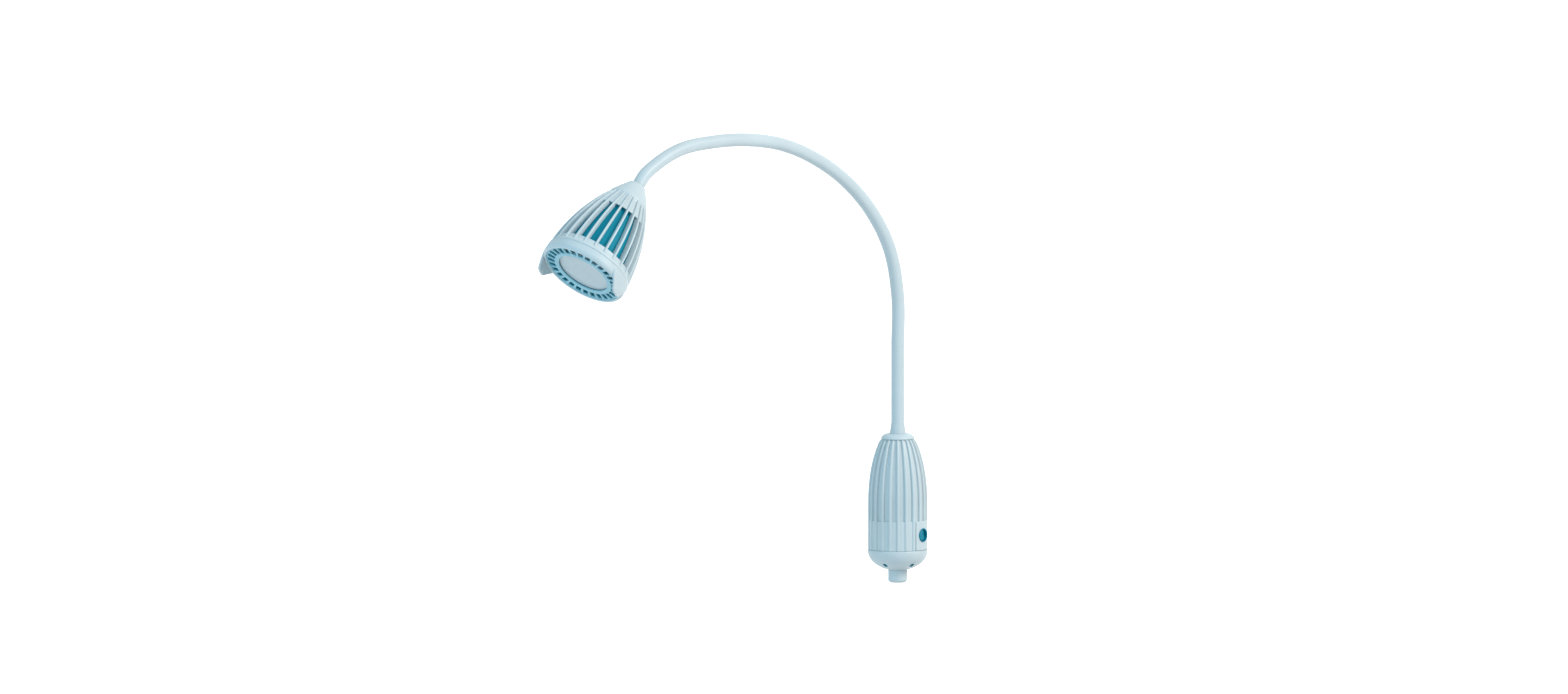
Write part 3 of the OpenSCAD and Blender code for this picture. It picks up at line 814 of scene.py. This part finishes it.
spigot_outline = filleted([
    (8, 0.8, 0.4), (9.2, 0, 0.4), (10.2, 0, 0.3), (SPIGOT_R, 2.6, 2.4), (SPIGOT_R, 16, 0.2),
    (12.2, 16, 0.1), (12.2, 18.2, 0.2), (20, 22.5, 0.4), (20, 25.5, 0.4), (5.5, 25.5, 0.3),
    (5.5, 20, 0.2), (8, 20, 0.2)], 0.3, 6)
lathe("spigot", spigot_outline, base_place, "base")

ring_outline = filleted([
    (10.6, 178.2, 0.3), (15.9, 178.2, 0.4), (15.9, 187.25, 0.1), (21.9, 187.25, 0.4),
    (21.6, 188.6, 1.0), (20.2, 190.6, 2), (18.2, 192.4, 2), (15.2, 193.7, 2),
    (10.6, 193.8, 0.4)], 0.5, 6)
lathe("collar_ring", ring_outline, base_place, "base")

boot_outline = filleted([
    (8.55, 186, 0.1), (10.5, 186, 0.2), (10.5, 194.6, 0.6), (10.1, 197.5, 3), (9.5, 201, 3),
    (9.05, 204.6, 3), (8.9, 206.6, 0.2), (8.55, 207, 0.1)], 0.3, 5)
lathe("neck_boot", boot_outline, base_place, "base", 96)

grommet_outline = filleted([
    (3.6, 20.05, 0.5), (5.45, 20.05, 0.2), (5.45, 25.55, 0.1), (8.5, 25.55, 0.4),
    (8.5, 28, 1.0), (3.6, 28, 0.8)], 0.4, 5)
lathe("inlet_grommet", grommet_outline, base_place, "base", 72)

# %% [markdown]
# The screws sit deep in the recesses, heads down, each with a hexagon socket. The socket is cut
# with a six-sided cutter.

# %% Cap screws
screw_outline = filleted([(0, 28.6), (2.4, 28.6, 0.4), (2.7, 29.2, 0.3), (2.7, 31, 0.1),
                          (1.5, 31, 0.15), (1.5, 49.2, 0.1), (0.9, 50, 0.1), (0, 50)], 0.1, 3)
screws = build("cap_screws", at_screws(screw_outline, 36), base_place)
socket = [(0, 28), (1.45, 28), (1.45, 30.1), (0, 30.1)]
cut(screws, build("sockets", at_screws(socket, 6), base_place))
fit(screws, "base", "cap_screws")

# %% [markdown]
# ## Switch
# The switch is a round rocker in a thin ring. The rocker's face is a shallow valley, higher at its
# two ends, so that a thumb finds the side to press. It is a polar grid whose height follows that
# valley and drops away at the edge. It rests with its lower end pressed, seven degrees from level.

# %% Switch ring and rocker
ROCKER_R, ROCKER_TILT = 6.8, math.radians(7)

switch_ring_outline = filleted([
    (7.6, 35, 0.2), (9, 35, 0.2), (9, 39.6, 0.7), (8.5, 40, 0.4), (7.6, 39.7, 0.5)], 0.3, 5)
lathe("switch_bezel", switch_ring_outline, switch_place, "base", 96)


def valley(x):
    """The height of the rocker's face at this distance from the line of its pin."""
    return 3.1 + 1.5 * (math.sqrt(x * x + 1.2) - 1.0) / 6


def rocker_face(rings=14, around=72):
    """The pressed surface, its rounded edge and the side wall, closed underneath."""
    turns = [2 * math.pi * k / around for k in range(around)]
    loops = []
    for share in [0.02] + spaced(0.1, 1, rings):
        edge = 0.7 * max(0.0, (share - 0.88) / 0.12) ** 2
        radius = ROCKER_R * share
        loops.append([swung(radius, a, valley(radius * math.cos(a)) - edge) for a in turns])
    loops += [[swung(ROCKER_R, a, height) for a in turns] for height in (1.5, -0.6)]
    return lofted(loops)


pin_outline = filleted([(0, -8.4), (1, -8.4, 0.3), (1, 8.4, 0.3), (0, 8.4)], 0.2, 3)
pin_verts, pin_faces = turned(pin_outline, 32)
pin = ([Vector((x, z, y)) for x, y, z in pin_verts], pin_faces)
rocker_place = (switch_place @ Matrix.Translation((0, 0, rocker_pin.xy.length / MM))
                @ Matrix.Rotation(-ROCKER_TILT, 4, "Y"))
fit(build("switch_rocker", [rocker_face(), pin], rocker_place, 30), "rocker", "switch_rocker")

# %% [markdown]
# ## The neck
# The real neck is a steel strip hose inside a smooth skin of soft plastic. It takes an even curve,
# with no corner anywhere. The frame stands for it with twelve bending points, so the skin has to
# run smoothly over them. A curve object with a bevel would be quicker, but the skin is made in
# twelve lengths, and so the centre line is written as one smooth piece between every two
# knots. The last two knots are swung a little off their bending points, so that the neck runs into
# the head in an even line.

# %% The neck's centre line
NECK_FOOT_Z, NECK_IN_HEAD, KNOT_SWING = 188, 9, 2
ACROSS = Vector((1, 0, 0))
pivots = [Vector(joint["pos_m"]) for joint in frame["joints"]
          if joint["name"].startswith("neck_")]
neck_end = collar + head_axis * NECK_IN_HEAD * MM
knots = [Vector((0, 0, NECK_FOOT_Z * MM))] + pivots + [neck_end]
last_run = (neck_end - pivots[-2]).normalized()
swing = last_run.cross(ACROSS) * KNOT_SWING * MM
knots[-3] = pivots[-2] + swing
knots[-2] = pivots[-1] - swing


def slope(index):
    """The direction of the centre line at a knot."""
    if index == 0:
        return Vector((0, 0, 1))
    if index == len(knots) - 1:
        return (head_axis.normalized() * 2 + (pivots[-1] - pivots[-2]).normalized()).normalized()
    return (knots[index + 1] - knots[index - 1]).normalized()


def along_neck(segment, t):
    """A point of the neck's centre line: t runs from 0 to 1 between two knots."""
    a, b = knots[segment], knots[segment + 1]
    length = (b - a).length
    ta, tb = slope(segment) * length, slope(segment + 1) * length
    return (a * (2 * t ** 3 - 3 * t ** 2 + 1) + ta * (t ** 3 - 2 * t ** 2 + t)
            + b * (3 * t ** 2 - 2 * t ** 3) + tb * (t ** 3 - t ** 2))


neck_length = sum((along_neck(k, (i + 1) / 20) - along_neck(k, i / 20)).length
                  for k in range(len(knots) - 1) for i in range(20))
print("neck length", round(neck_length, 3), "m")

# %% [markdown]
# A length of skin is a tube with a real wall. Its rings stand square to the centre line, and since
# the neck curves in one plane, one direction across that plane serves every ring. There is no
# twist to worry about.

# %% A tube along the centre line
NECK_R, SKIN = 8.5, 1.6
AROUND, RING_STEP = 56, 2.5 * MM


def skin_length(stops):
    """A tube wall along the stops, each a (segment, t) pair, closed at its ends."""
    outer, inner = [], []
    for segment, t in stops:
        here = along_neck(segment, t)
        before, after = max(t - 0.01, 0.0), min(t + 0.01, 1.0)
        ahead = (along_neck(segment, after) - along_neck(segment, before)).normalized()
        side = ahead.cross(ACROSS).normalized()
        for ring, radius in ((outer, NECK_R * MM), (inner, (NECK_R - SKIN) * MM)):
            ring.append([here + (ACROSS * math.cos(a) + side * math.sin(a)) * radius
                         for a in (2 * math.pi * k / AROUND for k in range(AROUND))])
    return lofted(outer + inner[::-1], close=True)


def stops_between(start, end):
    """Evenly spaced stops from a (segment, t) to one on the next segment."""
    stops = []
    for segment, first, last in ((*start, 1.0), (end[0], 0.0, end[1])):
        length = (knots[segment + 1] - knots[segment]).length * (last - first)
        stops += [(segment, t) for t in spaced(first, last, max(2, round(length / RING_STEP)))]
    return [stop for i, stop in enumerate(stops)
            if i == 0 or (along_neck(*stop) - along_neck(*stops[i - 1])).length > 1e-6]


print("rings in one length:", len(stops_between((1, 0.5), (2, 0.5))))

# %% [markdown]
# The skin is made in twelve lengths, one over each bending point. Each one reaches from the middle
# of one link to the middle of the next, the first from the neck's foot and the last into the collar
# of the head. Their ends meet at the links' middles. Each length stands for the link where it
# starts, and the last one for the tip as well.

# %% The skin in twelve lengths
nodes_along = ["neck_root"] + [f"neck_link_{k:02d}" for k in range(1, 12)] + ["neck_tip"]
for bend, pivot in enumerate(pivots):
    start = (bend, 0.0 if bend == 0 else 0.5)
    end = (bend + 1, 1.0 if bend == len(pivots) - 1 else 0.5)
    skin = build(f"neck_skin_{bend + 1:02d}", [skin_length(stops_between(start, end))],
                 Matrix.Identity(4), 60)
    stood_for = [nodes_along[bend]] + ([nodes_along[-1]] if bend == len(pivots) - 1 else [])
    fit(skin, None, *stood_for)
    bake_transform(skin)

# %% [markdown]
# ## Crown and skirt of the bell
# The bell has a closed crown, an open cage of cooling ribs, and a skirt that ends in a smooth band.
# The crown and the skirt are turned, each as a closed wall with an inside and an outside. Between
# them is nothing but ribs, which come in the next cell.

# %% Crown and skirt
RIB_FROM, RIB_TO, SLOT_FROM, SLOT_TO, SHADE_END = 27, 132.8, 52, 121.5, 133.5
SKIRT_FROM = 124
SHADE_GROOVE = 3.0


def crown_skin(s):
    """The outer wall of the crown: smooth near the collar, then sunk below the ribs."""
    return bell_r(s) - SHADE_GROOVE * ease((s - RIB_FROM + 3) / 9)


def skirt_skin(s):
    """The outer wall of the skirt: sunk at the slots, level with the ribs at the band."""
    return bell_r(s) - 2.5 + 2.5 * ease((s - SLOT_TO - 3) / (SHADE_END - SLOT_TO - 4.5))


crown_outline = [(8.6, 0.3), (9, 0), (10.9, 0), (12, 0.3), (12.7, 1)]
crown_outline += [(crown_skin(s), s) for s in spaced(2.4, SLOT_FROM - 0.8, 34)]
crown_outline += [(crown_skin(SLOT_FROM) - 0.5, SLOT_FROM - 0.1)]
crown_outline += [(crown_skin(s) - 2.6, s) for s in reversed(spaced(18, SLOT_FROM, 12))]
crown_outline += [(15, 12.2), (8.6, 12)]

skirt_inner = bell_r(125) - 3.2
skirt_outline = [(bell_r(SLOT_TO) - 5, SLOT_TO + 0.2), (bell_r(SLOT_TO) - 3, SLOT_TO)]
skirt_outline += [(skirt_skin(s), s) for s in spaced(SLOT_TO + 0.5, SHADE_END - 0.7, 24)]
skirt_outline += [(bell_r(SHADE_END) - 0.6, SHADE_END), (skirt_inner, SHADE_END),
                  (skirt_inner, SKIRT_FROM)]
shade_parts = [turned(crown_outline, 144), turned(skirt_outline, 192)]
print("inside of the skirt:", round(skirt_inner, 1), "mm from the axis")

# %% [markdown]
# ## Cooling ribs of the bell
# The ribs run from the crown to the skirt. Over the crown they stand only a little proud, between
# the slots they are free blades, eight millimetres deep, and on the skirt they fade out into the
# smooth band. Three short formulas say where the crest and the foot are and how wide the rib is.

# %% Twenty-four cooling ribs
SHADE_RIBS = 24
RIB_DEPTH, RIB_SUNK = 8.0, 4.4


def shade_crest(s):
    rise = 1 - ease((s - RIB_FROM) / 7)
    fade = ease((s - SLOT_TO - 6) / (RIB_TO - SLOT_TO - 6))
    return bell_r(s) - 0.35 * rise - 0.5 * fade


def shade_foot(s):
    into_crown = ease((s - SLOT_FROM + 3) / 3)
    into_skirt = ease((SLOT_TO + 3 - s) / 3)
    return bell_r(s) - RIB_SUNK - (RIB_DEPTH - RIB_SUNK) * min(into_crown, into_skirt)


def shade_rib_half(s):
    return 1.35 + 0.25 * ease((s - 30) / 60)


rib_stations = (spaced(RIB_FROM - 2, SLOT_FROM - 4, 14) + spaced(SLOT_FROM - 3, SLOT_FROM, 4)
                + spaced(SLOT_FROM + 3, SLOT_TO - 2, 26) + spaced(SLOT_TO, SLOT_TO + 3, 4)
                + spaced(SLOT_TO + 4, RIB_TO, 12))
for number in range(SHADE_RIBS):
    turn = number * 2 * math.pi / SHADE_RIBS
    shade_parts.append(rib(shade_crest, shade_foot, shade_rib_half, rib_stations, turn,
                           round_share=0.75, draft=0.08))
fit(build("shade", shade_parts, head_place), "head", "shade")

# %% [markdown]
# ## Inside the bell
# Behind the slots is a dark inner bell, which keeps the heat off the ribs and is what makes the
# slots look deep. In front of it sits the reflector, whose dish follows a parabola and throws the
# light forward. Its outer brim shows through the air slots, so it gets the inner bell's dark teal,
# with the same faint glow of painted light.

# %% Inner bell and reflector
LINER_INSET, LINER_WALL, LINER_FROM = RIB_DEPTH + 1.5, 1.2, 38
DISH_FROM, DISH_DEPTH = 62, 64

liner_outline = [(7, LINER_FROM + 0.2), (7.3, LINER_FROM)]
liner_outline += [(bell_r(LINER_FROM) - LINER_INSET - 0.6, LINER_FROM)]
liner_outline += [(bell_r(s) - LINER_INSET, s) for s in spaced(LINER_FROM + 0.8, SKIRT_FROM, 36)]
liner_outline += [(bell_r(s) - LINER_INSET - LINER_WALL, s)
                  for s in reversed(spaced(LINER_FROM + LINER_WALL, SKIRT_FROM, 24))]
liner_outline += [(7, LINER_FROM + LINER_WALL)]
# its teal finish carries a faint glow, painted light for the shade behind the ribs
lathe("heat_liner", liner_outline, head_place, "head", 160)


def dish_r(s):
    return 13 + 22 * math.sqrt((s - DISH_FROM) / DISH_DEPTH)


dish_levels = [DISH_FROM + DISH_DEPTH * t * t for t in spaced(0, 1, 28)]
dish_outline = [(dish_r(s), s) for s in dish_levels] + [(43.6, 126), (44, 125.6), (43.6, 125)]
dish_outline += [(dish_r(s) + 1.1, s - 1.2) for s in reversed(dish_levels)]
reflector = lathe("reflector", dish_outline, head_place, "head", 160)
# the brim gets the inner bell's dark teal, whose faint glow is painted light
second_finish(reflector, head_place, "teal_liner", lambda middle: middle.xy.length > 35.3)

# %% [markdown]
# The lamp is a small halogen capsule on two pins. Its dome is a few points of a circle. Behind the
# frosted glass it could be left out, but with the front ring off it shows.

# %% Halogen capsule
bulb_outline = [(0, 61.05), (4.6, 61.05), (5.3, 61.5), (5.5, 62.5), (5.5, 84), (5.3, 87)]
bulb_outline += [(5.3 * math.cos(t), 87 + 5.2 * math.sin(t)) for t in spaced(0.25, 1.45, 8)]
bulb_outline += [(0, 92.4)]
pins = []
for side in (-3, 3):
    verts, faces = turned(filleted([(0, 51), (0.7, 51), (0.7, 61.2), (0, 61.2)], 0.15, 2), 20)
    pins.append(([v + Vector((side, 0, 0)) for v in verts], faces))
fit(build("lamp_bulb", [turned(bulb_outline, 64)] + pins, head_place), "head", "lamp_bulb")

# %% [markdown]
# ## Lugs of the front ring
# The front ring holds the glass, and two lugs on it give the fingers something to turn. A lug is a
# curved tongue: wide where it leaves the ring, narrow at its round tip. Its outline is drawn flat
# and then wrapped round the ring, and its thickness tapers off towards the edge, which rounds it
# over as a mould would.

# %% Shape of a lug
LUG_ROOT_HALF, LUG_TIP_HALF, LUG_REACH = 26, 14.5, 14
LUG_FROM, LUG_TO = SHADE_END + 0.6, HEAD_LEN + LUG_REACH
LUG_THICK, LUG_ROUND = 3.0, 12.0


def lug_half(s):
    """Half the width of the tongue at this station: straight root, taper, then a round tip."""
    taper = ease((s - HEAD_LEN + 9) / (LUG_REACH + 4))
    half = LUG_ROOT_HALF + (LUG_TIP_HALF - LUG_ROOT_HALF) * taper
    left = max(0.0, LUG_TO - s)
    if left < LUG_ROUND:
        half -= LUG_ROUND * (1 - math.sqrt(1 - (1 - left / LUG_ROUND) ** 2))
    return max(half, 0.4)


def lug(turn, columns=28, edge=2.2):
    """A tongue wrapped on the ring, closed, with edges rounded over its thickness."""
    stations = spaced(LUG_FROM, HEAD_LEN, 8)
    stations += [HEAD_LEN + (LUG_REACH - 0.05) * math.sin(t) for t in spaced(0.12, math.pi / 2, 22)]
    middle = BELL_R + 1.2 - LUG_THICK / 2
    sections = []
    for s in stations:
        half = lug_half(s)
        loop = []
        for face in (1, -1):
            row = spaced(-1, 1, columns) if face > 0 else spaced(1, -1, columns)[1:-1]
            for u in row:
                inside = min((1 - abs(u)) * half, LUG_TO - s, (s - LUG_FROM) + 0.5)
                swell = math.sqrt(max(0.0, 1 - (1 - min(1.0, inside / edge)) ** 2))
                radius = middle + face * LUG_THICK / 2 * swell
                loop.append(swung(radius, turn + u * half / BELL_R, s))
        sections.append(loop)
    return lofted(sections)


print("lug half width at the ring and near the tip:", [round(lug_half(s), 1) for s in (147, 157)])

# %% [markdown]
# ## Front ring
# The ring is turned. Its face steps back round the air slots, and the inside of that step is in
# shadow, so it gets the dark paint. The seam to the bell is a narrow groove.

# %% Front ring with its two lugs
LUG_TURNS = [math.radians(-17), math.radians(163)]
VENT_Z = 143.5
RING_FACE = VENT_Z + 2.05
bezel_inner = skirt_inner - 0.4
bezel_outline = filleted([
    (bezel_inner - 2.4, 125, 0.4), (bezel_inner, 125, 0.4), (bezel_inner, SHADE_END + 0.3, 0.2),
    (BELL_R - 0.5, SHADE_END + 0.3, 0.2), (BELL_R - 0.1, SHADE_END + 0.7, 0.3), (BELL_R, 142.5, 3),
    (BELL_R - 1.1, 145.6, 3), (BELL_R - 2.6, HEAD_LEN, 1.5), (LIP_R + 0.4, HEAD_LEN, 0.8),
    (LIP_R, RING_FACE, 0.2), (LIP_R + 1.5, RING_FACE, 0.1), (LIP_R + 1.5, 137, 0.3),
    (bezel_inner - 2.4, 135, 0.4)], 0.5, 6)
bezel_parts = [turned(bezel_outline, 192)] + [lug(turn) for turn in LUG_TURNS]
bezel = fit(build("bezel", bezel_parts, head_place), "front", "bezel")
# painted shade inside the step round the slots, in the inner bell's dark teal; its faint glow is painted light
second_finish(bezel, head_place, "teal_liner",
              lambda middle: middle.xy.length < LIP_R + 2 and middle.z < RING_FACE - 0.3)

# %% [markdown]
# ## Ring of air slots
# Air enters through twenty-eight slots round the glass. The ring is turned and the slots are
# punched through it with rounded cutters, one solid each. A punched plate has a small roll at its
# edges, so a fine bevel follows the cut.

# %% Vent ring
VENT_SLOTS, VENT_R = 28, LIP_R + 1.4
SLOT_MIDDLE, SLOT_REACH, SLOT_WIDE = 46.5, 10, 7.2
GLASS_R = 35.5


def rounded_slot(turn, corner=1.3):
    """A block with rounded corners, standing through the ring."""
    flat = []
    for sx, sy, start in ((1, 1, 0), (-1, 1, 90), (-1, -1, 180), (1, -1, 270)):
        for k in range(5):
            a = math.radians(start + k * 22.5)
            flat.append((SLOT_MIDDLE + sx * (SLOT_REACH / 2 - corner) + corner * math.cos(a),
                         sy * (SLOT_WIDE / 2 - corner) + corner * math.sin(a)))
    spin = Matrix.Rotation(turn, 4, "Z")
    return lofted([[spin @ Vector((x, y, z)) for x, y in flat]
                   for z in (VENT_Z - 3, VENT_Z + 5)])


ring_flat = filleted([(GLASS_R, VENT_Z, 0.2), (VENT_R, VENT_Z, 0.2), (VENT_R, VENT_Z + 2, 0.3),
                      (GLASS_R, VENT_Z + 2, 0.7)], 0.3, 4)
vent_ring = build("vent_ring", [turned(ring_flat, 168)], head_place)
punches = [rounded_slot((k + 0.5) * 2 * math.pi / VENT_SLOTS) for k in range(VENT_SLOTS)]
cut(vent_ring, build("punches", punches, head_place))
roll = vent_ring.modifiers.new("edge_roll", "BEVEL")
roll.width, roll.segments, roll.limit_method = 0.25 * MM, 2, "ANGLE"
roll.angle_limit = math.radians(50)
fit(vent_ring, "front", "vent_ring")

# %% [markdown]
# ## Seal and glass
# The glass lies behind the ring, on a thin dark seal. It is a flat pane with a very slight crown,
# so that its reflection isn't dead straight.

# %% Seal and frosted glass
PANE_R, DOME_R = GLASS_R + 3, GLASS_R - 1
glass_back, glass_front = VENT_Z - 3.8, VENT_Z - 0.8

seal_outline = filleted([(GLASS_R - 0.1, glass_front, 0.2), (PANE_R, glass_front, 0.2),
                         (PANE_R, VENT_Z, 0.2), (GLASS_R - 0.1, VENT_Z, 0.2)], 0.2, 3)
lathe("glass_gasket", seal_outline, head_place, "front")

glass_outline = [(0, glass_back)] + [(r, glass_back) for r in spaced(4, PANE_R - 0.6, 9)]
glass_outline += [(PANE_R - 0.1, glass_back + 0.4), (PANE_R, glass_back + 1),
                  (PANE_R, glass_front - 0.6), (PANE_R - 0.4, glass_front - 0.1)]
glass_outline += [(r, glass_front + 0.35 * (1 - (r / DOME_R) ** 2)) for r in spaced(DOME_R, 3, 10)]
glass_outline += [(0, glass_front + 0.35)]
lathe("front_glass", glass_outline, head_place, "front")

# %% [markdown]
# ## Parts that stay as they are
# The electrics in the base, the leads and the lamp holder already have their real shapes in the
# frame, and nobody sees them until the lamp is opened. They keep their meshes. All but the leads
# get a fine bevel, so that their edges aren't knife-sharp.

# %% Soften the inner parts
BEVELS = {
    "neck_nut": 0.5, "chassis": 0.3, "transformer_core": 0.3, "transformer_coil": 1.5,
    "terminal_block": 0.6, "switch_body": 0.5, "switch_tabs": 0.15, "end_nut": 0.5,
    "socket_bracket": 0.3, "bracket_screws": 0.3, "lamp_socket": 0.6, "glass_clips": 0.2,
}
for node_name, width in BEVELS.items():
    softener = frame["nodes"][node_name].modifiers.new("soft_edges", "BEVEL")
    softener.width, softener.segments = width * MM, 2
    softener.limit_method, softener.angle_limit = "ANGLE", math.radians(35)
print("softened:", len(BEVELS))
